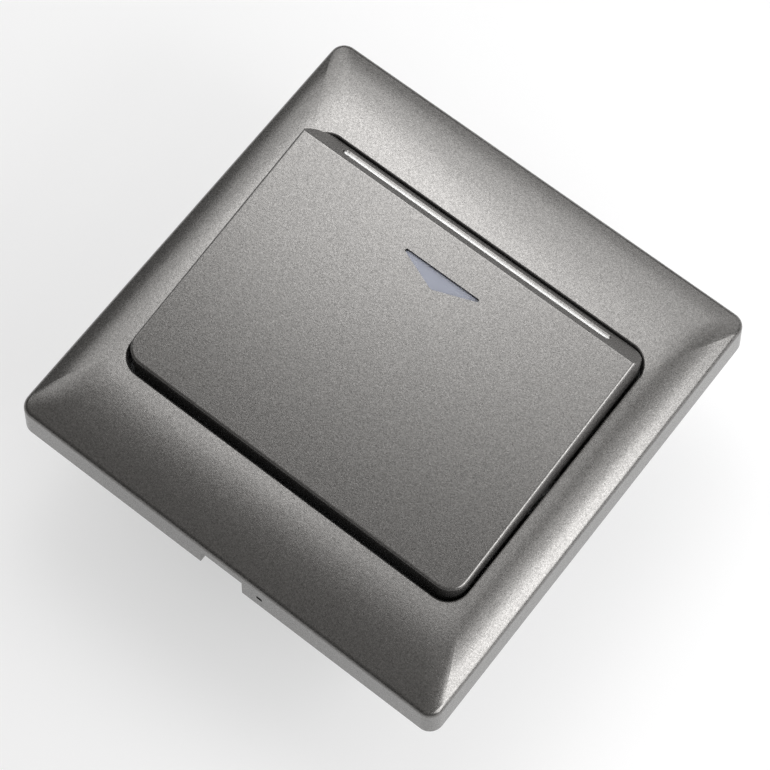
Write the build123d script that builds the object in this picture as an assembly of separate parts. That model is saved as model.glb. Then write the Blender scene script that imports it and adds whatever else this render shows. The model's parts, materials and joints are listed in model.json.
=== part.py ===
from build123d import *
import math
import os

# Hotel key card switch, in millimetres.
# Z points out of the wall, Y up the wall towards the card slot, X to the right.
# The origin is the centre of the plate, on the wall plane.

# The card that the switch takes
card_width = 54.0
card_side_play = 0.4
card_thickness = 0.76
card_play = 0.25

# Outer frame
side_border = 8.6
end_border = 16.15
frame_corner_radius = 2.5
rim_height = 7.6
rim_draft = 0.4
rim_round = 1.1
crown_rise = 2.3
crown_power = 2.6
crown_shares = (0, 0.08, 0.2, 0.38, 0.62, 1)
crown_overlap = 1.0
opening_radius = 4.0
opening_round = 0.3
frame_wall = 2.0
frame_skin = 1.8
collar_wall = 1.5
notch_centre_x = -0.1
notch_width = 8.6
notch_height = 4.7
mark_x = 7.8
mark_height = 3.5
mark_width = 1.1
mark_thickness = 1.0
mark_depth = 1.2
frame_tab_x = 18.0
frame_tab_width = 8.0
frame_tab_thickness = 1.6
frame_tab_gap = 2.5

# Front cover
cover_margin = 6.45
cover_side_gap = 0.55
cover_low_gap = 0.95
cover_top_gap = 0.6
cover_side_wall = 1.6
cover_face_wall = 2.0
face_low_height = 12.7
face_high_height = 17.8
brow_depth = 4.75
brow_drop = 7.5
mouth_share = 0.463
face_round = 0.5
cover_tab_y = 15.0
cover_tab_width = 6.0

# Card slot and the pocket behind it
slot_round = 0.9
mouth_clearance = 2.2
tongue_thickness = 0.8
tongue_gap = 0.2
tongue_recess = 0.25
pocket_side_play = 0.6
pocket_wall = 1.3
pocket_floor = 1.5
pocket_depth = 46.3
pocket_end_room = 7.4
rail_x = (13.0, 22.0)
rail_width = 1.2
rail_end_gap = 2.6
ear_inset = 8.0
ear_end_inset = 6.6
ear_length = 7.0
pocket_screw_offset = 3.0
pocket_screw_radius = 0.8
pocket_screw_length = 3.4
pocket_screw_head_radius = 1.7
pocket_screw_head = 1.1
pocket_boss_radius = 1.55

# Arrow window and its lens, placed from the face's upper edge; the sizes go to the sharp corners
arrow_half_width = 8.8
arrow_top = 6.29
arrow_height = 3.32
arrow_side_round = 0.3
arrow_tip_round = 1.2
lens_recess = 0.6
lens_flange_width = 20.4
lens_flange_height = 6.2
lens_flange_thickness = 0.8
lens_play = 0.1

# Steel yoke that is screwed to the wall box
box_screw_spacing = 60.3
box_slot_length = 7.0
box_slot_width = 4.4
yoke_side_room = 3.0
yoke_end_room = 5.0
yoke_radius = 5.0
yoke_thickness = 1.5
yoke_screw_side_inset = 9.0
yoke_screw_end_inset = 3.8
yoke_screw_radius = 1.25
yoke_screw_head_radius = 2.4
yoke_screw_length = 5.6

# Moulded carrier on the yoke
flange_inset = 1.0
flange_radius = 4.0
flange_thickness = 2.0
guide_wall = 1.5
guide_height = 2.0
guide_gap = 0.35
screw_window_width = 10.0
screw_window_height = 10.0
screw_window_radius = 1.0
carrier_boss_radius = 2.5
carrier_boss_height = 3.0
latch_gap = 0.3
latch_depth = 1.6
lamp_window_radius = 3.0
well_side_gap = 0.6
well_end_gap = 0.8
well_wall = 1.5
well_floor = 1.5
well_depth = 2.7

# Rear housing
housing_radius = 2.5
housing_wall = 1.8
rear_room = 1.0
step_y = -15.0
yoke_gap = 0.5
boss_radius = 3.2
boss_side_inset = 5.0
boss_end_inset = 4.8
vent_count = 5
vent_width = 1.4
vent_length = 9.0
vent_pitch = 4.0

# Housing screws
long_screw_radius = 1.3
long_screw_head_radius = 2.3
long_screw_head = 2.0
screw_recess = 0.6
screw_tip_gap = 0.4
screw_play = 0.2
thread_play = 0.02
post_radius = 2.8

# Circuit board
board_top = -6.6
board_thickness = 1.6
board_gap = 0.4
lead_radius = 0.4
lead_play = 0.1
lead_tail = 1.0

# Micro switch and plunger
switch_x = -3.0
switch_y = -4.0
switch_length = 19.8
switch_width = 6.4
switch_height = 10.2
switch_window_gap = 0.5
switch_rivet_radius = 1.1
switch_rivet_spacing = 9.5
switch_rivet_height = 3.0
switch_pin_pitch = 7.3
plunger_radius = 1.3
plunger_play = 0.05
plunger_stand = 1.3
plunger_length = 4.4
plunger_bore = 4.6
plunger_round = 0.4

# Card feeler, its pin and its spring
pivot_y = 6.0
pivot_below_mid = 5.5
pin_radius = 1.0
pin_play = 0.05
barrel_radius = 2.4
barrel_half_length = 6.8
ear_gap = 0.4
ear_thickness = 2.0
ear_radius = 2.4
arm_gap = 1.0
arm_thickness = 1.8
arm_width = 10.0
arm_end_y = -18.0
tail_end_y = 11.0
nose_width = 6.0
nose_start_y = -8.5
nose_crest_y = -14.2
nose_crest_length = 1.2
nose_end_y = -17.6
nose_gap = 0.4
nose_round = 0.5
window_side_gap = 0.6
window_end_gap = 1.0
contact_radius = 1.0
contact_gap = 0.25
stop_y = 9.8
stop_length = 1.8
stop_width = 6.0
stop_gap = 0.1
spring_y = -14.0
spring_radius = 2.2
spring_wire = 0.5
spring_turns = 4
spring_gap = 0.1
spring_cup_wall = 0.9
spring_cup_play = 0.5
spring_cup_floor = 1.2
spring_cup_lift = 0.2
spring_seat_radius = 2.9
spring_seat_height = 0.9
point_shares = (0, 0.25, 0.5, 0.75, 1)

# Locator lamp behind the arrow
lamp_y = 15.6
lamp_radius = 2.5
lamp_flange_radius = 2.9
lamp_flange = 1.0
lamp_height = 8.6
lamp_pitch = 2.54

# Parts on the rear of the board
aisle_half = 2.0
wall_room = 1.2
boss_room = 0.8
relay_size = (19.0, 15.4, 15.4)
case_round = 0.6
relay_room = 9.8
film_size = (17.6, 8.4, 15.0)
film_room = 0.6
film_pitch = 15.0
can_radius = 5.0
can_height = 16.0
can_room = (1.0, 2.8)
can_pitch = 5.0
can_round = 0.6
varistor_radius = 5.0
varistor_thickness = 4.0
varistor_x = -12.0
varistor_room = 6.0
varistor_lift = 1.0
varistor_pitch = 5.0
fuse_radius = 4.2
fuse_height = 7.6
fuse_room = (1.2, 7.8)
fuse_pitch = 5.08

# Parts on the front of the board
resistor_radius = 1.1
resistor_length = 6.0
resistor_places = ((-13.0, 8.0), (-13.0, 11.5), (-13.0, 15.0))
diode_radius = 1.3
diode_length = 4.6
diode_places = ((14.5, 4.0), (14.5, 8.0), (14.5, 12.0), (14.5, 16.0))
axial_lift = 0.5
axial_pitch = 10.0
chip_size = (9.4, 6.2, 3.4)
chip_place = (12.5, -15.0)
chip_pitch = 2.54
chip_row = 7.6
chip_notch_radius = 0.8
chip_notch_depth = 0.6
chip_leg_rows = 4

# Terminal block
cell_count = 4
cell_pitch = 7.62
block_depth = 12.0
block_play = 0.2
clamp_width = 5.4
clamp_depth = 6.4
clamp_height = 9.4
clamp_wall = 0.9
clamp_play = 0.15
clamp_y_inset = 1.6
wire_entry_width = 3.6
wire_entry_height = 5.0
wire_entry_lift = 3.0
terminal_screw_radius = 1.5
terminal_screw_head_radius = 2.0
terminal_screw_head = 1.8
terminal_screw_recess = 0.8
terminal_screw_room = 1.85
terminal_screw_access = 2.2
terminal_slot_width = 0.7
terminal_slot_depth = 0.9
terminal_pin = 1.0

# Working allowance for cuts that run past a surface
overrun = 1.0

# Places worked out from the sizes above
slot_width = card_width + 2 * card_side_play
cover_half_width = slot_width / 2 + cover_margin
opening_width = 2 * (cover_half_width + cover_side_gap)
opening_height = pocket_depth + pocket_end_room
frame_width = opening_width + 2 * side_border
frame_height = opening_height + 2 * end_border
rim_width = frame_width - 2 * rim_draft
rim_length = frame_height - 2 * rim_draft
frame_tab_y = opening_height / 2 + collar_wall + frame_tab_gap + frame_tab_thickness / 2
pocket_screw_x = slot_width / 2 + pocket_screw_offset
yoke_width = frame_width - 2 * (frame_wall + yoke_side_room)
yoke_height = frame_height - 2 * (frame_wall + yoke_end_room)
yoke_screw_x = yoke_width / 2 - yoke_screw_side_inset
yoke_screw_y = yoke_height / 2 - yoke_screw_end_inset
flange_width = yoke_width - 2 * flange_inset
flange_height = yoke_height - 2 * flange_inset
cover_low = cover_low_gap - opening_height / 2
cover_top = opening_height / 2 - cover_top_gap
cover_radius = opening_radius - cover_side_gap
face_top = cover_top - brow_depth
face_tilt = math.atan2(face_high_height - face_low_height, face_top - cover_low)
brow_length = math.hypot(brow_depth, brow_drop)
crown_height = rim_height + crown_rise
seat_height = yoke_thickness + flange_thickness
well_low = seat_height - well_depth - well_floor
board_low = board_top - board_thickness
switch_top = board_top + switch_height
block_width = cell_count * cell_pitch
widest_part = max(relay_size[0], film_room + film_size[0])
beside_parts = aisle_half + widest_part + wall_room + housing_wall
beside_block = block_width / 2 + block_play + boss_radius + boss_side_inset
housing_width = 2 * max(beside_parts, beside_block)
tallest_part = max(relay_size[2], film_size[2], can_height)
housing_depth = tallest_part + rear_room + housing_wall - board_low
below_clamp = terminal_screw_room + terminal_screw_head + terminal_screw_recess
terminal_depth = clamp_play + clamp_height + below_clamp - board_low
lower_stack = block_depth + varistor_room + varistor_thickness
upper_stack = relay_size[1] + boss_room + boss_radius + boss_end_inset
housing_height = lower_stack + relay_room + upper_stack
boss_x = housing_width / 2 - boss_side_inset
boss_y = housing_height / 2 - boss_end_inset
parts_top_y = boss_y - boss_radius - boss_room
relay_place = (-aisle_half - relay_size[0] / 2, parts_top_y - relay_size[1] / 2)
film_place = (aisle_half + film_room + film_size[0] / 2, parts_top_y - film_size[1] / 2)
can_place = (
    aisle_half + can_room[0] + can_radius,
    film_place[1] - film_size[1] / 2 - can_room[1] - can_radius,
)
varistor_place = (varistor_x, lower_stack - varistor_thickness / 2 - housing_height / 2)
fuse_place = (
    housing_width / 2 - housing_wall - fuse_room[0] - fuse_radius,
    lower_stack - varistor_thickness - varistor_room + fuse_room[1] + fuse_radius - housing_height / 2,
)
board_width = housing_width - 2 * housing_wall - 2 * board_gap
board_height = housing_height - 2 * housing_wall - 2 * board_gap
block_low_y = -housing_height / 2

face_normal = (0, -math.sin(face_tilt), math.cos(face_tilt))
card_direction = (0, math.cos(face_tilt), math.sin(face_tilt))
brow_normal = (0, brow_drop / brow_length, brow_depth / brow_length)
face_edge = (0, face_top, face_high_height)
mouth_y = face_top + mouth_share * brow_depth
mouth_z = face_high_height - mouth_share * brow_drop
face_plane = Plane(origin=face_edge, x_dir=(1, 0, 0), z_dir=face_normal)
brow_plane = Plane(origin=face_edge, x_dir=(1, 0, 0), z_dir=brow_normal)
card_plane = Plane(origin=(0, mouth_y, mouth_z), x_dir=(1, 0, 0), z_dir=face_normal)

# Levels above and below the card's middle plane
face_level = card_plane.to_local_coords(Vector(*face_edge)).Z
roof_level = face_level - cover_face_wall
floor_level = -mouth_clearance / 2
under_level = floor_level - pocket_floor
arm_top_level = under_level - arm_gap
arm_low_level = arm_top_level - arm_thickness
crest_level = roof_level - nose_gap
rail_level = floor_level + card_thickness + card_play


def card_height(y, level):
    """Height of a point at plate height y that lies a level above the card's middle plane."""
    return mouth_z + (y - mouth_y) * math.tan(face_tilt) + level / math.cos(face_tilt)


pivot_z = card_height(pivot_y, -pivot_below_mid)


def block(x_range, y_range, z_range):
    """A box between a low and a high limit on each axis."""
    ranges = (x_range, y_range, z_range)
    sizes = [high - low for low, high in ranges]
    middle = [(high + low) / 2 for low, high in ranges]
    return Pos(*middle) * Box(*sizes)


def upright(place, size, z_low, z_high):
    """A box centred on a place, between two heights."""
    x, y = place
    half_x = size[0] / 2
    half_y = size[1] / 2
    return block((x - half_x, x + half_x), (y - half_y, y + half_y), (z_low, z_high))


def prism(width, height, radius, z_low, z_high, x=0, y=0):
    """An upright prism with rounded corners."""
    outline = RectangleRounded(width, height, radius)
    return Pos(x, y, z_low) * extrude(outline, z_high - z_low)


def rod(radius, z_low, z_high, x=0, y=0):
    """An upright round bar."""
    return Pos(x, y, (z_low + z_high) / 2) * Cylinder(radius, z_high - z_low)


def cross_rod(radius, x_low, x_high, y, z):
    """A round bar along X."""
    middle = Pos((x_low + x_high) / 2, y, z)
    return middle * Rot(0, 90, 0) * Cylinder(radius, x_high - x_low)


def beyond(plane, level):
    """Everything further out than a level above a plane, as a large block."""
    reach = frame_width
    return plane.location * Pos(0, 0, level + reach / 2) * Box(2 * reach, 2 * reach, reach)


def side_profile(points, width):
    """A plate with an outline in the YZ plane, centred on the YZ plane."""
    outline = make_face(Polyline(*[(0, y, z) for y, z in points], close=True))
    return extrude(outline, width / 2, dir=(1, 0, 0), both=True)


def both_sides(places):
    """The given places and their mirror images about the YZ plane."""
    return [(side * x, y) for x, y in places for side in (-1, 1)]


def group(solids):
    """Separate solids of one kind, kept apart in one node."""
    return Compound(children=[solid for item in solids for solid in item.solids()])


# Outer frame


def crowned_body(drop=0):
    """The frame's outside as a full block: drafted sides and a smooth crown that rises inwards."""
    inner_width = opening_width - 2 * crown_overlap
    inner_height = opening_height - 2 * crown_overlap
    sections = []
    for share in crown_shares:
        width = rim_width + share * (inner_width - rim_width)
        height = rim_length + share * (inner_height - rim_length)
        radius = frame_corner_radius + share * (opening_radius - frame_corner_radius)
        level = rim_height + crown_rise * (1 - (1 - share) ** crown_power)
        sections.append(Pos(0, 0, level - drop) * RectangleRounded(width, height, radius))
    foot = RectangleRounded(frame_width, frame_height, frame_corner_radius)
    return loft([foot, sections[0]], ruled=True) + loft(sections)


def outer_frame():
    """Latched surround: crowned skin, rim wall, collar round the opening and four latch tabs."""
    body = crowned_body()
    rim_edges = body.edges().filter_by(on_rim)
    body = fillet(rim_edges, rim_round)
    inner_width = frame_width - 2 * frame_wall
    inner_height = frame_height - 2 * frame_wall
    inner_radius = frame_corner_radius / 2
    hollow = crowned_body(frame_skin)
    hollow = hollow & prism(inner_width, inner_height, inner_radius, -overrun, crown_height)
    collar = prism(
        opening_width + 2 * collar_wall,
        opening_height + 2 * collar_wall,
        opening_radius + collar_wall,
        -overrun,
        crown_height,
    )
    body = body - (hollow - collar)
    body = body - prism(inner_width, inner_height, inner_radius, -overrun, seat_height)
    body = body - prism(opening_width, opening_height, opening_radius, -overrun, crown_height + overrun)
    body = fillet(body.edges().filter_by(on_opening), opening_round)
    wall_y = -frame_height / 2
    notch_x = (notch_centre_x - notch_width / 2, notch_centre_x + notch_width / 2)
    through_wall = (wall_y - overrun, wall_y + frame_wall + overrun)
    body = body - block(notch_x, through_wall, (-overrun, notch_height))
    mark_span = (mark_x - mark_width / 2, mark_x + mark_width / 2)
    mark_rise = (mark_height - mark_thickness / 2, mark_height + mark_thickness / 2)
    body = body - block(mark_span, (wall_y - overrun, wall_y + mark_depth), mark_rise)
    roof = crown_height - frame_skin
    for x, y in both_sides(((frame_tab_x, frame_tab_y), (frame_tab_x, -frame_tab_y))):
        size = (frame_tab_width, frame_tab_thickness)
        body = body + upright((x, y), size, seat_height - latch_depth, roof + frame_skin / 2)
    return body


def on_rim(edge):
    """True for the edges where the frame's outer sides meet the crown."""
    box = edge.bounding_box()
    flat = box.max.Z - box.min.Z < rim_round / 2
    return flat and abs(box.min.Z - rim_height) < rim_round / 2 and reaches_side(box)


def on_opening(edge):
    """True for the edges where the opening meets the crown."""
    box = edge.bounding_box()
    high = box.min.Z > crown_height - opening_round
    across = max(box.max.X, -box.min.X) < opening_width / 2 + opening_round
    return high and across and max(box.max.Y, -box.min.Y) < opening_height / 2 + opening_round


def reaches_side(box):
    """True when a box touches the frame's outer sides."""
    near = rim_round / 2
    beside = max(box.max.X, -box.min.X) > rim_width / 2 - near
    return beside or max(box.max.Y, -box.min.Y) > rim_length / 2 - near


# Front cover


def cover_wedge(side_inset, face_inset, brow_inset, base):
    """The cover's block, drawn in by an inset at its sides, its face and its slanted brow."""
    width = 2 * (cover_half_width - side_inset)
    height = cover_top - cover_low - 2 * side_inset
    radius = cover_radius - side_inset
    middle = (cover_top + cover_low) / 2
    body = prism(width, height, radius, base, face_high_height + overrun, 0, middle)
    body = body - beyond(face_plane, -face_inset)
    return body - beyond(brow_plane, -brow_inset)


def slot_cutter():
    """Bar along the card's way that opens the slot in the brow."""
    low = floor_level - tongue_thickness - tongue_gap
    high = mouth_clearance / 2
    profile = RectangleRounded(slot_width, high - low, slot_round)
    way = Plane(origin=card_plane.origin, x_dir=(-1, 0, 0), z_dir=card_direction)
    reach = cover_side_wall * 2
    return way.location * Pos(0, (low + high) / 2, -reach) * extrude(profile, 2 * reach)


def arrow_outline(growth):
    """Downward arrow on the face plane, grown by a margin."""
    half = arrow_half_width + growth * arrow_half_width / arrow_height
    top = -arrow_top + growth
    low = -arrow_top - arrow_height - growth
    points = ((-half, top), (half, top), (0, low))
    outline = make_face(Polyline(*points, close=True))
    corners = outline.vertices().sort_by(Axis.Y)
    outline = fillet(corners[0], arrow_tip_round)
    return fillet(outline.vertices().sort_by(Axis.Y)[-2:], arrow_side_round)


def arrow_bar(growth, low, high):
    """The arrow's outline as a bar between two levels below the face."""
    return face_plane.location * Pos(0, 0, low) * extrude(arrow_outline(growth), high - low)


def lens_flange(play):
    """Flange behind the arrow, or with play the recess that takes it."""
    middle = -arrow_top - arrow_height / 2
    width = lens_flange_width + 2 * play
    height = lens_flange_height + 2 * play
    low = -cover_face_wall
    size = Box(width, height, lens_flange_thickness)
    return face_plane.location * Pos(0, middle, low + lens_flange_thickness / 2) * size


def front_cover():
    """Wedge-shaped cap with the slot, the arrow window, card rails, screw bosses and latch tabs."""
    body = cover_wedge(0, 0, 0, seat_height)
    face = body.faces().sort_by(lambda f: f.center().Z)[-1]
    body = fillet(face.edges(), face_round)
    body = body - cover_wedge(cover_side_wall, cover_face_wall, cover_side_wall, seat_height - overrun)
    body = body - slot_cutter()
    body = body - arrow_bar(0, -cover_face_wall - overrun, overrun)
    body = body - lens_flange(lens_play)
    for x in rail_x:
        for side in (-1, 1):
            body = body + card_rail(side * x)
    for x, y in pocket_screw_places():
        body = body + pocket_boss(x, y)
    for x, y in both_sides(((cover_half_width - cover_side_wall / 2, cover_tab_y),)):
        for way in (-1, 1):
            size = (cover_side_wall, cover_tab_width)
            body = body + upright((x, way * y), size, seat_height - latch_depth, seat_height + overrun)
    return body


def card_rail(x):
    """Rib under the cover's face that keeps the card down on the pocket's floor."""
    length = pocket_depth - 2 * rail_end_gap
    thickness = roof_level - rail_level + cover_face_wall / 2
    middle = Pos(x, -pocket_depth / 2, rail_level + thickness / 2)
    return card_plane.location * middle * Box(rail_width, length, thickness)


def pocket_screw_places():
    """Places of the pocket's screws, across and along the card's way."""
    places = (-ear_inset, ear_end_inset - pocket_depth)
    return both_sides([(pocket_screw_x, along) for along in places])


def card_rod(radius, low, high, x, along):
    """A round bar square to the card, between two levels."""
    place = Pos(x, along, (low + high) / 2)
    return card_plane.location * place * Cylinder(radius, high - low)


def pocket_boss(x, along):
    """Boss under the face with a pilot hole for a pocket screw."""
    body = card_rod(pocket_boss_radius, floor_level, roof_level + cover_face_wall / 2, x, along)
    tip = under_level + pocket_screw_length + screw_tip_gap
    return body - card_rod(pocket_screw_radius + thread_play, floor_level - overrun, tip, x, along)


def arrow_lens():
    """Arrow-shaped translucent plug with a flange behind the face."""
    low = lens_flange_thickness - cover_face_wall
    plug = arrow_bar(-lens_play / 2, low, -lens_recess)
    return plug + lens_flange(0)


def card_pocket():
    """White pocket: floor, side rails, end stop, screw ears and the tongue that lines the slot."""
    half = slot_width / 2 - pocket_side_play / 2
    outer = half + pocket_wall
    end = -pocket_depth - pocket_wall
    place = card_plane.location
    body = place * block((-outer, outer), (end, 0), (under_level, roof_level))
    room = block((-half, half), (-pocket_depth, overrun), (floor_level, roof_level + overrun))
    body = body - place * room
    for x, along in pocket_screw_places():
        reach = math.copysign(cover_half_width - cover_side_wall - guide_gap, x)
        across = sorted((math.copysign(half, x), reach))
        span = (along - ear_length / 2, along + ear_length / 2)
        body = body + place * block(across, span, (under_level, floor_level))
    inset = cover_side_wall + guide_gap
    body = body & cover_wedge(inset, cover_face_wall, inset, 0)
    body = body + (place * pocket_tongue() - beyond(brow_plane, -tongue_recess))
    hole_radius = pocket_screw_radius + screw_play
    for x, along in pocket_screw_places():
        body = body - card_rod(hole_radius, under_level - overrun, floor_level + overrun, x, along)
    side = nose_width / 2 + window_side_gap
    low_y = nose_end_y - window_end_gap
    return body - block((-side, side), (low_y, nose_start_y), (0, face_high_height))


def pocket_tongue():
    """Thin lip of the pocket that passes through the slot, round along its lower edges."""
    half = slot_width / 2 - tongue_gap
    low = floor_level - tongue_thickness
    tongue = block((-half, half), (-brow_length, brow_length), (low, floor_level))
    lower = tongue.edges().filter_by(Axis.Y).sort_by(Axis.Z)[:2]
    return fillet(lower, slot_round - tongue_gap)


def pocket_screws():
    """Small pan-head screws from below, through the pocket's ears into the cover."""
    screws = []
    for x, along in pocket_screw_places():
        shank = card_rod(pocket_screw_radius, under_level, under_level + pocket_screw_length, x, along)
        head = card_rod(pocket_screw_head_radius, under_level - pocket_screw_head, under_level, x, along)
        screws.append(shank + head)
    return group(screws)


# Card feeler


def feeler_line(level, y):
    """A point of the feeler's outline at a level under the card."""
    return (y, card_height(y, level))


def card_feeler():
    """Rocker with a barrel on the pin, an arm under the pocket, a nose in the card's way and a tail."""
    arm = side_profile(
        (
            feeler_line(arm_top_level, arm_end_y),
            feeler_line(arm_top_level, tail_end_y),
            feeler_line(arm_low_level, tail_end_y),
            feeler_line(arm_low_level, arm_end_y),
        ),
        arm_width,
    )
    nose = side_profile(
        (
            feeler_line(arm_top_level - arm_thickness / 2, nose_start_y),
            feeler_line(arm_top_level, nose_start_y),
            feeler_line(crest_level, nose_crest_y),
            feeler_line(crest_level, nose_crest_y - nose_crest_length),
            feeler_line(arm_top_level, nose_end_y),
            feeler_line(arm_top_level - arm_thickness / 2, nose_end_y),
        ),
        nose_width,
    )
    crest = nose.edges().filter_by(Axis.X).sort_by(Axis.Z)[-2:]
    nose = fillet(crest, nose_round)
    half = barrel_half_length
    body = arm + nose + cross_rod(barrel_radius, -half, half, pivot_y, pivot_z)
    pad_low = switch_top + plunger_stand + contact_gap
    pad_top = card_height(switch_y, arm_top_level - arm_thickness / 2)
    body = body + rod(contact_radius, pad_low, pad_top, 0, switch_y)
    seat_top = card_height(spring_y, arm_top_level - arm_thickness / 2)
    body = body + rod(spring_seat_radius, spring_top(), seat_top, 0, spring_y)
    return body - cross_rod(pin_radius + pin_play, -half - overrun, half + overrun, pivot_y, pivot_z)


def spring_top():
    """Height of the feeler's flat seat on the spring."""
    return card_height(spring_y, arm_low_level) - spring_seat_height / 2


def spring_low():
    """Height of the floor of the carrier's spring cup."""
    return board_top + spring_cup_lift + spring_cup_floor


def feeler_pin():
    """Steel pivot pin through the carrier's ears and the feeler's barrel."""
    half = barrel_half_length + ear_gap + ear_thickness
    return cross_rod(pin_radius, -half, half, pivot_y, pivot_z)


def spring_heights():
    """Height of the wire's middle at every half turn; the first and last half turn lie flat."""
    low = spring_low() + spring_wire / 2
    high = spring_top() - spring_gap - spring_wire / 2
    climb = (high - low) / (2 * spring_turns)
    return [low] + [low + step * climb for step in range(2 * spring_turns + 1)] + [high]


def spring_arcs():
    """Half-turn arcs along the wire's middle, each tangent to the next."""
    heights = spring_heights()
    arcs = []
    for step, (start, end) in enumerate(zip(heights, heights[1:])):
        side = 1 if step % 2 == 0 else -1
        bulge = math.hypot(2 * spring_radius, end - start) / 2
        first = (side * spring_radius, spring_y, start)
        middle = (0, spring_y + side * bulge, (start + end) / 2)
        last = (-side * spring_radius, spring_y, end)
        arcs.append(ThreePointArc(first, middle, last))
    return arcs


def spring_turn_gap():
    """Least free gap between one turn of the spring and the next, measured on points."""
    arcs = spring_arcs()
    lower = [arc @ share for arc in arcs[:-2] for share in point_shares]
    upper = [arc @ share for arc in arcs[2:] for share in point_shares]
    return min((one - two).length for one, two in zip(lower, upper)) - spring_wire


def feeler_spring():
    """Compression spring: one unbroken wire tube with a flat half turn at each end."""
    arcs = spring_arcs()
    start = Plane(arcs[0] @ 0, z_dir=arcs[0] % 0)
    return sweep(start * Circle(spring_wire / 2), path=Wire(arcs))


# Carrier and yoke


def base_carrier():
    """Moulded chassis: flange, guide wall, feeler well, pivot ears, stop, spring cup and posts."""
    body = prism(flange_width, flange_height, flange_radius, yoke_thickness, seat_height)
    guide_half = cover_half_width - cover_side_wall - guide_gap
    guide_length = cover_top - cover_low - 2 * cover_side_wall - 2 * guide_gap
    middle = (cover_top + cover_low) / 2
    top = seat_height + guide_height
    corner = cover_radius - cover_side_wall
    wall = prism(2 * guide_half, guide_length, corner, seat_height, top, 0, middle)
    wall = wall - prism(
        2 * (guide_half - guide_wall),
        guide_length - 2 * guide_wall,
        corner - guide_wall / 2,
        seat_height,
        top + overrun,
        0,
        middle,
    )
    body = body + wall
    boss_top = seat_height + carrier_boss_height
    tip = yoke_screw_length + screw_tip_gap
    for x, y in both_sides(((yoke_screw_x, yoke_screw_y), (yoke_screw_x, -yoke_screw_y))):
        body = body + rod(carrier_boss_radius, seat_height - overrun, boss_top, x, y)
        body = body - rod(yoke_screw_radius + thread_play, 0, tip, x, y)
    hole_top = seat_height - flange_thickness / 2
    for x, y in boss_places():
        body = body + rod(post_radius, board_top, yoke_thickness + overrun, x, y)
        body = body - rod(long_screw_radius + thread_play, board_top - overrun, hole_top, x, y)
    body = body + feeler_well(well_wall, well_low) - feeler_well(0, well_low + well_floor)
    body = body + pivot_ears() + tail_stop() + spring_cup()
    body = body - rod(spring_radius + spring_wire / 2 + spring_cup_play, spring_low(), top, 0, spring_y)
    body = body - switch_window() - rod(lamp_window_radius, 0, top, 0, lamp_y)
    for x, y in both_sides(((box_screw_spacing / 2, 0),)):
        window = (screw_window_width, screw_window_height, screw_window_radius)
        body = body - prism(*window, 0, top + overrun, x, y)
    for x, y in both_sides(((frame_tab_x, frame_tab_y), (frame_tab_x, -frame_tab_y))):
        body = body - latch_slot(x, y, frame_tab_width, frame_tab_thickness)
    for x, y in both_sides(((cover_half_width - cover_side_wall / 2, cover_tab_y),)):
        for way in (-1, 1):
            body = body - latch_slot(x, way * y, cover_side_wall, cover_tab_width)
    return body


def latch_slot(x, y, width, length):
    """Slot in the flange for one latch tab."""
    size = (width + 2 * latch_gap, length + 2 * latch_gap)
    return upright((x, y), size, 0, seat_height + overrun)


def feeler_well(wall, z_low):
    """Well that the feeler's arm dips into when a card presses it, grown by a wall."""
    half = arm_width / 2 + well_side_gap + wall
    low_y = arm_end_y - well_end_gap - wall
    high_y = switch_y - switch_width / 2 - switch_window_gap
    return block((-half, half), (low_y, high_y), (z_low, seat_height))


def pivot_ears():
    """Two ears with the holes for the feeler's pin."""
    near = barrel_half_length + ear_gap
    far = near + ear_thickness
    hole = cross_rod(pin_radius + thread_play, -far - overrun, far + overrun, pivot_y, pivot_z)
    along = (pivot_y - ear_radius, pivot_y + ear_radius)
    ears = []
    for low, high in ((-far, -near), (near, far)):
        post = block((low, high), along, (seat_height - overrun, pivot_z))
        ears.append(post + cross_rod(ear_radius, low, high, pivot_y, pivot_z))
    return (ears[0] - hole) + (ears[1] - hole)


def tail_stop():
    """Post that the feeler's tail rests on."""
    low_y = stop_y - stop_length / 2
    high_y = stop_y + stop_length / 2
    top = card_height(low_y, arm_low_level) - stop_gap
    return block((-stop_width / 2, stop_width / 2), (low_y, high_y), (seat_height - overrun, top))


def spring_cup():
    """Cup under the feeler's well that holds the foot of the spring."""
    radius = spring_radius + spring_wire / 2 + spring_cup_play + spring_cup_wall
    return rod(radius, board_top + spring_cup_lift, well_low + well_floor / 2, 0, spring_y)


def switch_window():
    """Window in the carrier for the micro switch."""
    size = (switch_length + 2 * switch_window_gap, switch_width + 2 * switch_window_gap)
    return upright((switch_x, switch_y), size, 0, seat_height + overrun)


def mounting_yoke():
    """Steel plate with the box-screw slots, the housing's aperture and countersunk holes."""
    body = prism(yoke_width, yoke_height, yoke_radius, 0, yoke_thickness)
    aperture = (housing_width + 2 * yoke_gap, housing_height + 2 * yoke_gap, housing_radius + yoke_gap)
    body = body - prism(*aperture, -overrun, yoke_thickness + overrun)
    slot = extrude(SlotOverall(box_slot_length, box_slot_width), yoke_thickness + 2 * overrun)
    for x, y in both_sides(((box_screw_spacing / 2, 0),)):
        body = body - Pos(x, y, -overrun) * slot
    for x, y in both_sides(((yoke_screw_x, yoke_screw_y), (yoke_screw_x, -yoke_screw_y))):
        body = body - rod(yoke_screw_radius + screw_play, -overrun, yoke_thickness + overrun, x, y)
        body = body - countersunk_head(screw_play / 2, x, y)
    for x, y in both_sides(((frame_tab_x, frame_tab_y), (frame_tab_x, -frame_tab_y))):
        body = body - latch_slot(x, y, frame_tab_width, frame_tab_thickness)
    return body


def countersunk_head(play, x, y):
    """Cone of a countersunk head that lies flush with the wall plane."""
    height = yoke_screw_head_radius - yoke_screw_radius
    cone = Cone(yoke_screw_head_radius + play, yoke_screw_radius + play, height)
    return Pos(x, y, height / 2) * cone


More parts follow.
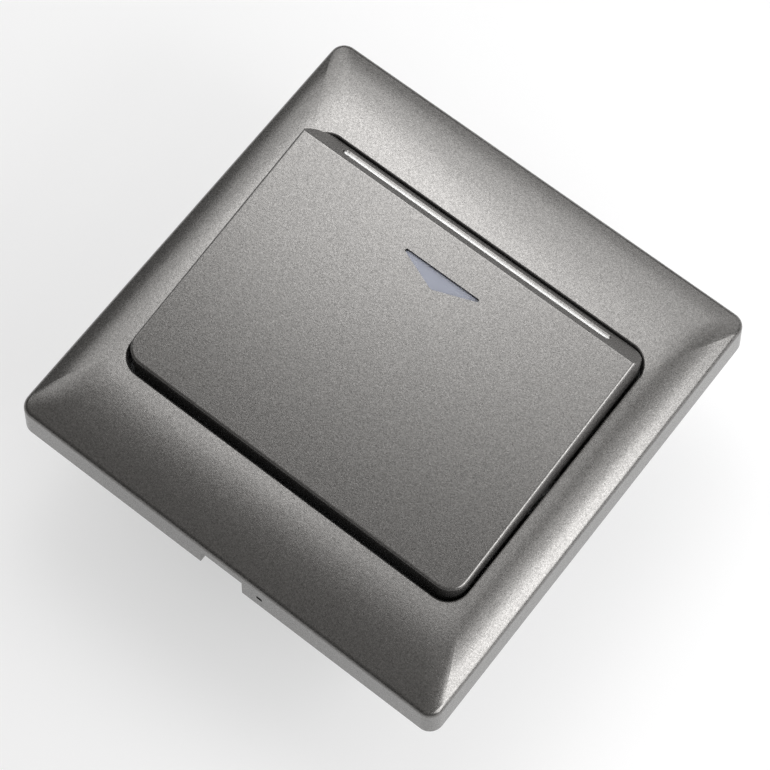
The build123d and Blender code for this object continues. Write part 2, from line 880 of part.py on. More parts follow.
def yoke_screws():
    """Countersunk screws that hold the yoke to the carrier."""
    screws = []
    for x, y in both_sides(((yoke_screw_x, yoke_screw_y), (yoke_screw_x, -yoke_screw_y))):
        shank = rod(yoke_screw_radius, 0, yoke_screw_length, x, y)
        screws.append(shank + countersunk_head(0, x, y))
    return group(screws)


# Rear housing and its screws


def boss_places():
    """Places of the four housing bosses and carrier posts."""
    return both_sides(((boss_x, boss_y), (boss_x, -boss_y)))


def boss_back(y):
    """Depth of the housing's back behind a boss."""
    return -housing_depth if y > step_y else -terminal_depth


def rear_housing():
    """Box behind the wall plane, stepped at its lower end for the terminals."""
    body = prism(housing_width, housing_height, housing_radius, -housing_depth, yoke_thickness)
    half_x = housing_width / 2 + overrun
    low_y = -housing_height / 2 - overrun
    body = body - block((-half_x, half_x), (low_y, step_y), (-housing_depth - overrun, -terminal_depth))
    inner_radius = housing_radius - housing_wall
    hollow = prism(
        housing_width - 2 * housing_wall,
        housing_height - 2 * housing_wall,
        inner_radius,
        housing_wall - housing_depth,
        yoke_thickness + overrun,
    )
    step_top = housing_wall - terminal_depth
    step_floor = block((-half_x, half_x), (low_y, step_y + housing_wall), (-housing_depth, step_top))
    body = body - (hollow - step_floor)
    for x, y in boss_places():
        body = body + rod(boss_radius, boss_back(y), board_low, x, y)
    for x, y in boss_places():
        back = boss_back(y)
        body = body - rod(long_screw_radius + screw_play, back - overrun, board_low + overrun, x, y)
        deep = back + screw_recess + long_screw_head
        body = body - rod(long_screw_head_radius + screw_play, back - overrun, deep, x, y)
    half_block = block_width / 2 + block_play
    high_y = block_low_y + block_depth + block_play
    opening_z = (-terminal_depth - overrun, board_low + block_play)
    body = body - block((-half_block, half_block), (low_y, high_y), opening_z)
    top_wall = (housing_height / 2 - housing_wall - overrun, housing_height / 2 + overrun)
    rise = (-(housing_depth + vent_length) / 2, (vent_length - housing_depth) / 2)
    for step in range(vent_count):
        x = (step - (vent_count - 1) / 2) * vent_pitch
        body = body - block((x - vent_width / 2, x + vent_width / 2), top_wall, rise)
    return body


def housing_screws(side):
    """Pan-head screws from the back, through housing and board into the carrier's posts."""
    screws = []
    for x, y in boss_places():
        if y * side > 0:
            head_low = boss_back(y) + screw_recess
            head_high = head_low + long_screw_head
            tip = seat_height - flange_thickness / 2 - screw_tip_gap
            shank = rod(long_screw_radius, head_high, tip, x, y)
            head = rod(long_screw_head_radius, head_low, head_high, x, y)
            recess = cross_recess(x, y, head_low)
            screws.append(shank + head - recess)
    return group(screws)


def cross_recess(x, y, low):
    """Cross-shaped driver recess in a screw head."""
    long = long_screw_head_radius
    thin = long_screw_head_radius / 3
    depth = (low - overrun, low + long_screw_head / 2)
    return upright((x, y), (long, thin), *depth) + upright((x, y), (thin, long), *depth)


# Circuit board and what is soldered to it


def pair(place, pitch):
    """Two lead places, a pitch apart along X."""
    x, y = place
    return [(x - pitch / 2, y), (x + pitch / 2, y)]


def rear_leads():
    """Lead places of the parts on the rear of the board."""
    relay_x, relay_y = relay_place
    across = relay_size[0] / 2 - 2 * lead_play - lead_tail
    along = relay_size[1] / 2 - 2 * lead_play - lead_tail
    relay_pins = [(relay_x + across, relay_y)]
    relay_pins += [(relay_x + side * across, relay_y + way * along) for side in (-1, 1) for way in (-1, 1)]
    others = pair(film_place, film_pitch) + pair(can_place, can_pitch) + pair(fuse_place, fuse_pitch)
    return relay_pins + others


def varistor_leads():
    """Lead places of the varistor, which stands off the board."""
    return pair(varistor_place, varistor_pitch)


def lamp_leads():
    """Lead places of the locator lamp."""
    return pair((0, lamp_y), lamp_pitch)


def switch_leads():
    """Places of the micro switch's three pins."""
    return [(switch_x + step * switch_pin_pitch, switch_y) for step in (-1, 0, 1)]


def axial_leads():
    """Lead places of the resistors and diodes."""
    places = resistor_places + diode_places
    return [spot for place in places for spot in pair(place, axial_pitch)]


def chip_leads():
    """Leg places of the timer chip."""
    x, y = chip_place
    spots = []
    for step in range(chip_leg_rows):
        offset = (step - (chip_leg_rows - 1) / 2) * chip_pitch
        spots += [(x + offset, y - chip_row / 2), (x + offset, y + chip_row / 2)]
    return spots


def clamp_places():
    """Middle of each terminal clamp, along X."""
    return [(step - (cell_count - 1) / 2) * cell_pitch for step in range(cell_count)]


def clamp_middle_y():
    """Middle of the terminal clamps, along Y."""
    return block_low_y + block_depth - clamp_y_inset - clamp_depth / 2


def circuit_board():
    """Board with screw holes and a hole for every lead."""
    body = prism(board_width, board_height, housing_radius / 2, board_low, board_top)
    low = board_low - overrun
    high = board_top + overrun
    for x, y in boss_places():
        body = body - rod(long_screw_radius + screw_play, low, high, x, y)
    leads = rear_leads() + varistor_leads() + lamp_leads()
    leads += switch_leads() + axial_leads() + chip_leads()
    for x, y in leads:
        body = body - rod(lead_radius + lead_play, low, high, x, y)
    pin_hole = terminal_pin + 2 * lead_play
    for x in clamp_places():
        body = body - upright((x, clamp_middle_y()), (pin_hole, pin_hole), low, high)
    return body


def component_leads():
    """Tinned leads of the parts on the board."""
    leads = []
    for x, y in rear_leads():
        leads.append(rod(lead_radius, board_low, board_top + lead_tail, x, y))
    for x, y in varistor_leads():
        leads.append(rod(lead_radius, board_low - varistor_lift, board_top + lead_tail, x, y))
    for x, y in lamp_leads():
        leads.append(rod(lead_radius, board_low - lead_tail, board_top, x, y))
    for places, radius, length in axial_sets():
        for x, y in places:
            z = board_top + axial_lift + radius
            for side in (-1, 1):
                near = side * length / 2
                far = side * axial_pitch / 2
                stub = cross_rod(lead_radius, x + min(near, far), x + max(near, far), y, z)
                leg = rod(lead_radius, board_low, z, x + far, y)
                leads.append(stub + leg + Pos(x + far, y, z) * Sphere(lead_radius))
    for x, y in chip_leads():
        leads.append(chip_leg(x, y))
    return group(leads)


def chip_leg(x, y):
    """One leg of the timer chip: out of its side and down through the board."""
    chip_x, chip_y = chip_place
    side = 1 if y > chip_y else -1
    z = board_top + chip_size[2] / 2
    edge = chip_y + side * chip_size[1] / 2
    outer = y + side * lead_radius / 2
    half = lead_radius / 2
    stub = block((x - half, x + half), sorted((edge, outer)), (z - half, z + half))
    return stub + upright((x, y), (lead_radius, lead_radius), board_low, z + half)


def axial_sets():
    """Places, radius and body length of the parts that lie along X."""
    return (
        (resistor_places, resistor_radius, resistor_length),
        (diode_places, diode_radius, diode_length),
    )


def axial_parts(places, radius, length):
    """Bodies of the parts that lie along X."""
    z = board_top + axial_lift + radius
    return group([cross_rod(radius, x - length / 2, x + length / 2, y, z) for x, y in places])


def relay():
    """Relay case under the board."""
    body = upright(relay_place, relay_size, board_low - relay_size[2], board_low)
    return fillet(body.edges().filter_by(Axis.Z) + body.faces().sort_by(Axis.Z)[0].edges(), case_round)


def film_capacitor():
    """Box-shaped film capacitor under the board."""
    body = upright(film_place, film_size, board_low - film_size[2], board_low)
    return fillet(body.faces().sort_by(Axis.Z)[0].edges(), case_round)


def smoothing_capacitor():
    """Round can capacitor under the board."""
    body = rod(can_radius, board_low - can_height, board_low, *can_place)
    return fillet(body.faces().sort_by(Axis.Z)[0].edges(), can_round)


def varistor():
    """Disc varistor that stands on its leads."""
    x, y = varistor_place
    z = board_low - varistor_lift - varistor_radius
    disc = Pos(x, y, z) * Rot(90, 0, 0) * Cylinder(varistor_radius, varistor_thickness)
    shoulder = block(
        (x - varistor_pitch / 2 - lead_radius, x + varistor_pitch / 2 + lead_radius),
        (y - varistor_thickness / 2, y + varistor_thickness / 2),
        (z, board_low - varistor_lift),
    )
    return disc + shoulder


def fuse():
    """Round time-lag fuse under the board."""
    body = rod(fuse_radius, board_low - fuse_height, board_low, *fuse_place)
    return fillet(body.faces().sort_by(Axis.Z)[0].edges(), can_round)


def timer_chip():
    """Eight-leg chip with its end notch."""
    x, y = chip_place
    top = board_top + chip_size[2]
    body = upright(chip_place, chip_size, board_top, top)
    return body - rod(chip_notch_radius, top - chip_notch_depth, top + overrun, x - chip_size[0] / 2, y)


def locator_lamp():
    """Round lamp that lights the pocket behind the arrow."""
    dome_middle = board_top + lamp_height - lamp_radius
    body = rod(lamp_radius, board_top, dome_middle, 0, lamp_y)
    body = body + Pos(0, lamp_y, dome_middle) * Sphere(lamp_radius)
    return body + rod(lamp_flange_radius, board_top, board_top + lamp_flange, 0, lamp_y)


# Micro switch


def micro_switch():
    """Switch case with the plunger's bore and two rivet holes."""
    body = upright((switch_x, switch_y), (switch_length, switch_width), board_top, switch_top)
    body = fillet(body.edges().filter_by(Axis.Z), plunger_round)
    bore_low = switch_top - plunger_bore
    body = body - rod(plunger_radius + plunger_play, bore_low, switch_top + overrun, 0, switch_y)
    for side in (-1, 1):
        x = switch_x + side * switch_rivet_spacing / 2
        hole = Rot(90, 0, 0) * Cylinder(switch_rivet_radius, 2 * switch_width)
        body = body - Pos(x, switch_y, board_top + switch_rivet_height) * hole
    return body


def switch_plunger():
    """Round button that the feeler presses into the switch."""
    top = switch_top + plunger_stand
    body = rod(plunger_radius, top - plunger_length, top, 0, switch_y)
    return fillet(body.faces().sort_by(Axis.Z)[-1].edges(), plunger_round)


def switch_terminals():
    """The micro switch's three pins through the board."""
    return group([rod(lead_radius, board_low - lead_tail, board_top, x, y) for x, y in switch_leads()])


# Terminals


def clamp_top():
    """Height of the clamps' upper face, just under the board."""
    return board_low - clamp_play


def clamp_low():
    """Height of the clamps' lower face."""
    return clamp_top() - clamp_height


def terminal_block():
    """Moulded block with a wire entry, a clamp seat and a screw access for each cell."""
    low_y = block_low_y
    high_y = block_low_y + block_depth
    body = block((-block_width / 2, block_width / 2), (low_y, high_y), (-terminal_depth, board_low))
    y = clamp_middle_y()
    seat = (clamp_width + 2 * clamp_play, clamp_depth + 2 * clamp_play)
    for x in clamp_places():
        body = body - upright((x, y), seat, clamp_low() - clamp_play, board_low + overrun)
        body = body - rod(terminal_screw_access, -terminal_depth - overrun, clamp_low(), x, y)
        body = body - block(
            (x - wire_entry_width / 2, x + wire_entry_width / 2),
            (low_y - overrun, y),
            (wire_middle() - wire_entry_height / 2, wire_middle() + wire_entry_height / 2),
        )
    return body


def wire_middle():
    """Height of the wire entries' middle."""
    return clamp_low() + clamp_height / 2 + clamp_wall / 2


def terminal_clamps():
    """Brass cages with a window for the wire, a screw hole and a solder pin."""
    clamps = []
    y = clamp_middle_y()
    inside = (clamp_width - 2 * clamp_wall, clamp_depth + 2 * overrun)
    pin_size = (terminal_pin, terminal_pin)
    hole_top = clamp_low() + 3 * clamp_wall
    for x in clamp_places():
        body = upright((x, y), (clamp_width, clamp_depth), clamp_low(), clamp_top())
        window = upright((x, y), inside, clamp_low() + 2 * clamp_wall, clamp_top() - clamp_wall)
        pin = upright((x, y), pin_size, clamp_top() - clamp_wall / 2, board_top + lead_tail)
        hole = rod(terminal_screw_radius + thread_play, clamp_low() - overrun, hole_top, x, y)
        clamps.append(body - window + pin - hole)
    return group(clamps)


def terminal_screws():
    """Slotted clamp screws, driven from the back."""
    screws = []
    y = clamp_middle_y()
    head_low = -terminal_depth + terminal_screw_recess
    head_high = head_low + terminal_screw_head
    for x in clamp_places():
        shank = rod(terminal_screw_radius, head_high, clamp_low() + 3 * clamp_wall, x, y)
        head = rod(terminal_screw_head_radius, head_low, head_high, x, y)
        slot = block(
            (x - terminal_screw_head_radius - overrun, x + terminal_screw_head_radius + overrun),
            (y - terminal_slot_width / 2, y + terminal_slot_width / 2),
            (head_low - overrun, head_low + terminal_slot_depth),
        )
        screws.append(shank + head - slot)
    return group(screws)


def nodes():
    """Every sub-part by the name of its node."""
    return {
        "outer_frame": outer_frame(),
        "front_cover": front_cover(),
        "arrow_lens": arrow_lens(),
        "card_pocket": card_pocket(),
        "pocket_screws": pocket_screws(),
        "card_feeler": card_feeler(),
        "feeler_pin": feeler_pin(),
        "feeler_spring": feeler_spring(),
        "base_carrier": base_carrier(),
        "mounting_yoke": mounting_yoke(),
        "yoke_screws": yoke_screws(),
        "rear_housing": rear_housing(),
        "housing_screws_long": housing_screws(1),
        "housing_screws_short": housing_screws(-1),
        "circuit_board": circuit_board(),
        "component_leads": component_leads(),
        "relay": relay(),
        "film_capacitor": film_capacitor(),
        "smoothing_capacitor": smoothing_capacitor(),
        "varistor": varistor(),
        "fuse": fuse(),
        "resistors": axial_parts(resistor_places, resistor_radius, resistor_length),
        "diodes": axial_parts(diode_places, diode_radius, diode_length),
        "timer_chip": timer_chip(),
        "locator_lamp": locator_lamp(),
        "micro_switch": micro_switch(),
        "switch_plunger": switch_plunger(),
        "switch_terminals": switch_terminals(),
        "terminal_block": terminal_block(),
        "terminal_clamps": terminal_clamps(),
        "terminal_screws": terminal_screws(),
    }


def main():
    """Write one file for each sub-part."""
    os.makedirs("parts", exist_ok=True)
    for name, shape in nodes().items():
        export_step(shape, f"parts/{name}.step")
    print("pivot height", round(pivot_z, 3), "spring foot", round(spring_low(), 3))
    print("least gap between the spring's turns", round(spring_turn_gap(), 3))


main()
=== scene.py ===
"""Looks of the hotel key card switch, in metres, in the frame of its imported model."""

import json
import math

import bpy
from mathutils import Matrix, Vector

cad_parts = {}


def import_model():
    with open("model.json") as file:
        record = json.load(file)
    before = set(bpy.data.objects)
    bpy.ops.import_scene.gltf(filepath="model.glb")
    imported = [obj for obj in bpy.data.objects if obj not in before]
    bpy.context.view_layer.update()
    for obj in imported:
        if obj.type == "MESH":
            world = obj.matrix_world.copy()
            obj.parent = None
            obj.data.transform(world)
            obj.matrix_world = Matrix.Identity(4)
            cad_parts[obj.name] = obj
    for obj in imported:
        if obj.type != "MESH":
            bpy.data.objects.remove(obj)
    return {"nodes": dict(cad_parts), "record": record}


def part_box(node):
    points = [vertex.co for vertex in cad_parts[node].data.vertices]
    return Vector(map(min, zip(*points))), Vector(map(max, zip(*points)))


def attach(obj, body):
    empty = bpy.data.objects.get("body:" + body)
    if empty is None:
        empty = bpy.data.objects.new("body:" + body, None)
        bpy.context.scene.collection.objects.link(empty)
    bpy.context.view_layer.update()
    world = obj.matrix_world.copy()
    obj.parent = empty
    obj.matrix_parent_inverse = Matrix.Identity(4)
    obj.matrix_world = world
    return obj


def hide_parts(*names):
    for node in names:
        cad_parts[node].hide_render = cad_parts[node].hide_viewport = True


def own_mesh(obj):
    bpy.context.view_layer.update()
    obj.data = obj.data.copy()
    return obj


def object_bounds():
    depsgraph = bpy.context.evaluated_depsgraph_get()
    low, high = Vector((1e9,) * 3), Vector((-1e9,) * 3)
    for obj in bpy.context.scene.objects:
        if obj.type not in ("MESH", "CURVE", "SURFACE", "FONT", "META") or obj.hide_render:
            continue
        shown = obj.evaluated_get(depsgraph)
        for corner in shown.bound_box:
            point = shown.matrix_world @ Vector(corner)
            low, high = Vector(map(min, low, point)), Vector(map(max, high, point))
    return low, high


MILLIMETRE = 0.001

# Camera, solved from the photograph's corners; its lens and sensor are in millimetres
CAMERA_PLACE = Vector((94.21, -121.09, 408.23)) * MILLIMETRE
CAMERA_LOOK = Vector((-0.2151, 0.2764, -0.9366))
CAMERA_LENS = 122.66
SENSOR_WIDTH = 36.0
CAMERA_NEAR = 0.01
CAMERA_FAR = 20.0

# Softboxes: name, azimuth from +X towards +Y, elevation, side length, power
LAMP_DISTANCE = 0.28
LAMPS = (
    ("right_softbox", 0.0, 30.0, 0.2, 0.48),
    ("right_fill", -20.0, 35.0, 0.12, 0.08),
    ("right_top_softbox", 15.0, 52.0, 0.14, 0.1),
    ("window_softbox", 138.0, 62.0, 0.13, 0.16),
    ("top_softbox", 105.0, 72.0, 0.13, 0.09),
    ("back_softbox", 106.0, 47.0, 0.14, 0.125),
    ("back_fill", 70.0, 30.0, 0.16, 0.06),
    ("left_softbox", 142.0, 38.0, 0.16, 0.12),
    ("left_fill", 180.0, 45.0, 0.12, 0.06),
    ("right_far_fill", 23.0, 31.0, 0.1, 0.07),
)

# Surroundings: dim up to one height and full from another, both as sines of the elevation
WORLD_COLOUR = (1.0, 0.97, 0.935)
WORLD_STRENGTH = 0.19
HORIZON_STRENGTH = 0.06
DIM_UP_TO = 0.45
FULL_FROM = 0.85
BACKDROP_STRENGTH = 0.8

# Floor, just below the lowest point of the model
FLOOR_GAP = 0.05 * MILLIMETRE
FLOOR_SIZE = 6.0
FLOOR_COLOUR = (0.9, 0.9, 0.905)
BACKDROP_SHARE = 0.52

# Feeler spring, drawn as round wire with closed ends
WIRE_RADIUS = 0.25 * MILLIMETRE
SPRING_TURNS = 5.5
SPRING_FLAT_TURNS = 0.75
SPRING_EASE_SHARE = 0.15
SPRING_STEPS = 40
SPRING_SIDES = 12

# Most noise values lie in this range
NOISE_LOW = 0.3
NOISE_HIGH = 0.7

# Paint of the frame and the cover
PAINT_COLOUR = (0.193, 0.188, 0.183)

# Moulded plastics by slot, with the depth of their grain in millimetres
PLASTICS = {
    "white_plastic": dict(colour=(0.92, 0.92, 0.91), roughness=0.3, grain=0.003, coat=0.2, glow=0.05),
    "natural_acetal": dict(colour=(0.76, 0.76, 0.72), roughness=0.4, grain=0.004, glow=0.1),
    "grey_plastic": dict(colour=(0.16, 0.165, 0.17), roughness=0.5, grain=0.012),
    "charcoal_plastic": dict(colour=(0.022, 0.022, 0.024), roughness=0.5, grain=0.015),
    "relay_case": dict(colour=(0.01, 0.04, 0.2), roughness=0.25, grain=0.003, coat=0.3),
    "film_case": dict(colour=(0.6, 0.42, 0.03), roughness=0.3, grain=0.004, coat=0.3),
    "can_sleeve": dict(colour=(0.012, 0.012, 0.02), roughness=0.25, grain=0.003, coat=0.3),
    "varistor_coat": dict(
        colour=(0.01, 0.05, 0.25),
        roughness=0.3,
        grain=0.01,
        grain_scale=900.0,
        coat=0.3,
    ),
    "fuse_case": dict(colour=(0.09, 0.03, 0.015), roughness=0.45, grain=0.006),
    "black_epoxy": dict(colour=(0.012, 0.012, 0.012), roughness=0.45, grain=0.008),
    "switch_case": dict(colour=(0.018, 0.018, 0.02), roughness=0.4, grain=0.006),
    "plunger_plastic": dict(colour=(0.45, 0.02, 0.01), roughness=0.3, grain=0.003, coat=0.2),
    "terminal_plastic": dict(colour=(0.02, 0.1, 0.04), roughness=0.4, grain=0.006),
}

# Bare metals by slot; the stretch is small along the way in which the metal was drawn or rolled
METALS = {
    "zinc_steel": dict(colour=(0.6, 0.61, 0.63), roughness=0.26),
    "bright_steel": dict(colour=(0.64, 0.64, 0.65), roughness=0.2, stretch=(0.2, 1.0, 1.0)),
    "tinned_wire": dict(colour=(0.7, 0.7, 0.68), roughness=0.3),
    "brass_cage": dict(colour=(0.72, 0.52, 0.2), roughness=0.28, stretch=(1.0, 0.2, 1.0)),
}
ZINC_COLOUR = (0.58, 0.59, 0.6)

# Resistors: the colour of the coat, and where each band starts from their middle, with its colour
RESISTOR_COLOUR = (0.5, 0.36, 0.2)
BROWN = (0.2, 0.08, 0.03)
BLACK = (0.01, 0.01, 0.01)
RED = (0.5, 0.03, 0.02)
GOLD = (0.75, 0.55, 0.12)
BAND_WIDTH = 0.5 * MILLIMETRE
RESISTOR_BANDS = (
    (-2.0 * MILLIMETRE, BROWN),
    (-1.0 * MILLIMETRE, BLACK),
    (0.0, RED),
    (1.4 * MILLIMETRE, GOLD),
)


# Node helpers


def start_material(name, colour, roughness, metallic=0.0):
    """A material with one principled shader; returns it with its tree and shader."""
    material = bpy.data.materials.new(name)
    material.use_nodes = True
    tree = material.node_tree
    shader = tree.nodes["Principled BSDF"]
    shader.inputs["Base Color"].default_value = (*colour, 1.0)
    shader.inputs["Roughness"].default_value = roughness
    shader.inputs["Metallic"].default_value = metallic
    return material, tree, shader


def add_node(tree, kind, values=None, **settings):
    """A node with its settings and the values of its sockets."""
    node = tree.nodes.new(kind)
    for key, value in settings.items():
        setattr(node, key, value)
    for key, value in (values or {}).items():
        node.inputs[key].default_value = value
    return node


def object_coordinates(tree):
    """The socket with coordinates in the model's own frame, in metres."""
    return add_node(tree, "ShaderNodeTexCoord").outputs["Object"]


def noise(tree, place, scale, detail=2.0, roughness=0.5):
    """Noise value from 0 to 1, with features of about one over the scale, in metres."""
    node = add_node(
        tree,
        "ShaderNodeTexNoise",
        {"Scale": scale, "Detail": detail, "Roughness": roughness},
    )
    tree.links.new(place, node.inputs["Vector"])
    return node.outputs["Fac"]


def cells(tree, place, scale):
    """Cells of about one over the scale, in metres, each with two random values from 0 to 1."""
    node = add_node(tree, "ShaderNodeTexVoronoi", {"Scale": scale})
    tree.links.new(place, node.inputs["Vector"])
    split = add_node(tree, "ShaderNodeSeparateColor")
    tree.links.new(node.outputs["Color"], split.inputs["Color"])
    return split.outputs["Red"], split.outputs["Green"]


def spread(tree, value, low, high, from_low=NOISE_LOW, from_high=NOISE_HIGH):
    """Maps a value to a range."""
    node = add_node(
        tree,
        "ShaderNodeMapRange",
        {"From Min": from_low, "From Max": from_high, "To Min": low, "To Max": high},
    )
    tree.links.new(value, node.inputs["Value"])
    return node.outputs["Result"]


def larger(tree, one, other):
    """The larger of two values."""
    node = add_node(tree, "ShaderNodeMath", operation="MAXIMUM")
    tree.links.new(one, node.inputs[0])
    tree.links.new(other, node.inputs[1])
    return node.outputs["Value"]


def times(tree, value, factor):
    """A value times a number."""
    node = add_node(tree, "ShaderNodeMath", {1: factor}, operation="MULTIPLY")
    tree.links.new(value, node.inputs[0])
    return node.outputs["Value"]


def tint(tree, value, colour, share):
    """A colour that gets darker and lighter by a share as the value goes from 0 to 1."""
    node = add_node(tree, "ShaderNodeMix", data_type="RGBA")
    dark = [channel * (1 - share) for channel in colour]
    light = [min(1.0, channel * (1 + share)) for channel in colour]
    node.inputs["A"].default_value = (*dark, 1.0)
    node.inputs["B"].default_value = (*light, 1.0)
    tree.links.new(value, node.inputs["Factor"])
    return node.outputs["Result"]


def set_colour(tree, shader, colour):
    """Gives a shader its colour from a socket."""
    tree.links.new(colour, shader.inputs["Base Color"])


def set_roughness(tree, shader, roughness):
    """Gives a shader its roughness from a socket."""
    tree.links.new(roughness, shader.inputs["Roughness"])


def set_bump(tree, shader, height, depth):
    """Gives a shader relief of a depth in metres from a height from 0 to 1."""
    node = add_node(tree, "ShaderNodeBump", {"Strength": 1.0, "Distance": depth})
    tree.links.new(height, node.inputs["Height"])
    tree.links.new(node.outputs["Normal"], shader.inputs["Normal"])


# Materials


def metallic_paint(name, colour):
    """Satin metallic paint: fine flakes that differ in tone, gloss and tilt."""
    material, tree, shader = start_material(name, colour, roughness=0.27, metallic=0.8)
    place = object_coordinates(tree)
    tone, gloss = cells(tree, place, scale=6200.0)
    cloud = noise(tree, place, scale=3200.0, detail=3.0, roughness=0.6)
    mixed = add_node(tree, "ShaderNodeMath", operation="ADD")
    most_of_each = 0.5
    tree.links.new(spread(tree, tone, 0.0, most_of_each, from_low=0.0, from_high=1.0), mixed.inputs[0])
    tree.links.new(spread(tree, cloud, 0.0, most_of_each), mixed.inputs[1])
    value = mixed.outputs["Value"]
    set_colour(tree, shader, tint(tree, value, colour, share=0.38))
    set_roughness(tree, shader, spread(tree, gloss, low=0.24, high=0.32, from_low=0.0, from_high=1.0))
    set_bump(tree, shader, value, depth=0.006 * MILLIMETRE)
    return material


def moulded(name, colour, roughness, grain, grain_scale=2500.0, coat=0.0, glow=0.0):
    """Moulded plastic with fine spark-eroded grain, faint flow clouds and uneven gloss."""
    material, tree, shader = start_material(name, colour, roughness)
    place = object_coordinates(tree)
    cloud = noise(tree, place, scale=60.0, detail=3.0)
    fine = noise(tree, place, grain_scale, detail=3.0, roughness=0.6)
    glossiest = roughness - 0.05
    dullest = roughness + 0.07
    set_colour(tree, shader, tint(tree, cloud, colour, share=0.07))
    set_roughness(tree, shader, spread(tree, fine, glossiest, dullest))
    set_bump(tree, shader, fine, depth=grain * MILLIMETRE)
    shader.inputs["Coat Weight"].default_value = coat
    shader.inputs["Coat Roughness"].default_value = 0.15
    shader.inputs["Subsurface Weight"].default_value = glow
    shader.inputs["Subsurface Radius"].default_value = (0.002, 0.002, 0.002)
    return material


def worked_metal(name, colour, roughness, stretch=(1.0, 1.0, 1.0)):
    """Metal with drawing or rolling marks along one way and slightly uneven tone."""
    material, tree, shader = start_material(name, colour, roughness, metallic=1.0)
    place = object_coordinates(tree)
    stretched = add_node(tree, "ShaderNodeMapping", {"Scale": stretch})
    tree.links.new(place, stretched.inputs["Vector"])
    marks = noise(tree, stretched.outputs["Vector"], scale=1200.0, detail=4.0, roughness=0.6)
    stains = noise(tree, place, scale=150.0, detail=3.0)
    glossiest = roughness - 0.08
    dullest = roughness + 0.12
    set_colour(tree, shader, tint(tree, stains, colour, share=0.1))
    set_roughness(tree, shader, spread(tree, marks, glossiest, dullest))
    set_bump(tree, shader, marks, depth=0.004 * MILLIMETRE)
    return material


def spangled_sheet(name, colour):
    """Galvanised sheet with soft zinc spangles."""
    material, tree, shader = start_material(name, colour, roughness=0.35, metallic=1.0)
    place = object_coordinates(tree)
    spangle = cells(tree, place, scale=220.0)[1]
    waves = noise(tree, place, scale=900.0, detail=3.0)
    set_colour(tree, shader, tint(tree, spangle, colour, share=0.14))
    set_roughness(tree, shader, spread(tree, spangle, low=0.28, high=0.48, from_low=0.0, from_high=1.0))
    set_bump(tree, shader, waves, depth=0.003 * MILLIMETRE)
    return material


def banded(name, colour, axis, starts_and_colours):
    """A coated part with colour bands across one axis, each from its start, in metres."""
    roughness = 0.45
    material, tree, shader = start_material(name, colour, roughness)
    place = object_coordinates(tree)
    split = add_node(tree, "ShaderNodeSeparateXYZ")
    tree.links.new(place, split.inputs["Vector"])
    shade = tint(tree, noise(tree, place, scale=700.0, detail=3.0), colour, share=0.08)
    for start, band in starts_and_colours:
        centre = start + BAND_WIDTH / 2
        inside = add_node(tree, "ShaderNodeMath", {1: centre, 2: BAND_WIDTH / 2}, operation="COMPARE")
        tree.links.new(split.outputs[axis], inside.inputs[0])
        mix = add_node(tree, "ShaderNodeMix", {"B": (*band, 1.0)}, data_type="RGBA")
        tree.links.new(inside.outputs["Value"], mix.inputs["Factor"])
        tree.links.new(shade, mix.inputs["A"])
        shade = mix.outputs["Result"]
    fine = noise(tree, place, scale=1800.0)
    glossiest = roughness - 0.06
    dullest = roughness + 0.08
    set_colour(tree, shader, shade)
    set_roughness(tree, shader, spread(tree, fine, glossiest, dullest))
    set_bump(tree, shader, fine, depth=0.005 * MILLIMETRE)
    return material


def laminate(name):
    """Circuit board: solder mask with faint tracks below it."""
    mask = (0.02, 0.13, 0.06)
    dark_mask = (0.015, 0.1, 0.045)
    track = (0.05, 0.24, 0.1)
    material, tree, shader = start_material(name, mask, roughness=0.3)
    place = object_coordinates(tree)
    values = {
        "Scale": 160.0,
        "Mortar Size": 0.09,
        "Mortar Smooth": 0.1,
        "Bias": 0.0,
        "Color1": (*dark_mask, 1.0),
        "Color2": (*mask, 1.0),
        "Mortar": (*track, 1.0),
    }
    tracks = add_node(tree, "ShaderNodeTexBrick", values, offset=0.37)
    tree.links.new(place, tracks.inputs["Vector"])
    fine = noise(tree, place, scale=1500.0)
    set_colour(tree, shader, tracks.outputs["Color"])
    set_roughness(tree, shader, spread(tree, fine, low=0.26, high=0.38))
    set_bump(tree, shader, tracks.outputs["Fac"], depth=0.02 * MILLIMETRE)
    return material


def milky_lens(name):
    """Frosted translucent plastic."""
    colour = (0.26, 0.275, 0.335)
    material, tree, shader = start_material(name, colour, roughness=0.35)
    place = object_coordinates(tree)
    cloud = noise(tree, place, scale=350.0, detail=3.0)
    fine = noise(tree, place, scale=3000.0)
    set_colour(tree, shader, tint(tree, cloud, colour, share=0.05))
    set_roughness(tree, shader, spread(tree, fine, low=0.28, high=0.4))
    set_bump(tree, shader, fine, depth=0.003 * MILLIMETRE)
    shader.inputs["Subsurface Weight"].default_value = 0.25
    shader.inputs["Subsurface Radius"].default_value = (0.0015, 0.0015, 0.002)
    shader.inputs["IOR"].default_value = 1.49
    return material


def clear_lamp(name):
    """Water-clear lamp body."""
    colour = (0.85, 0.9, 0.95)
    material, tree, shader = start_material(name, colour, roughness=0.08)
    place = object_coordinates(tree)
    cloud = noise(tree, place, scale=500.0)
    set_colour(tree, shader, tint(tree, cloud, colour, share=0.03))
    set_roughness(tree, shader, spread(tree, cloud, low=0.05, high=0.12))
    shader.inputs["Transmission Weight"].default_value = 0.8
    shader.inputs["IOR"].default_value = 1.53
    return material


def resistor_coat(name):
    """Coat of the resistors, with bands placed from the middle of their CAD box."""
    low_corner, high_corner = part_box("resistors")
    middle = (low_corner.x + high_corner.x) / 2
    bands = [(middle + start, colour) for start, colour in RESISTOR_BANDS]
    return banded(name, RESISTOR_COLOUR, "X", bands)


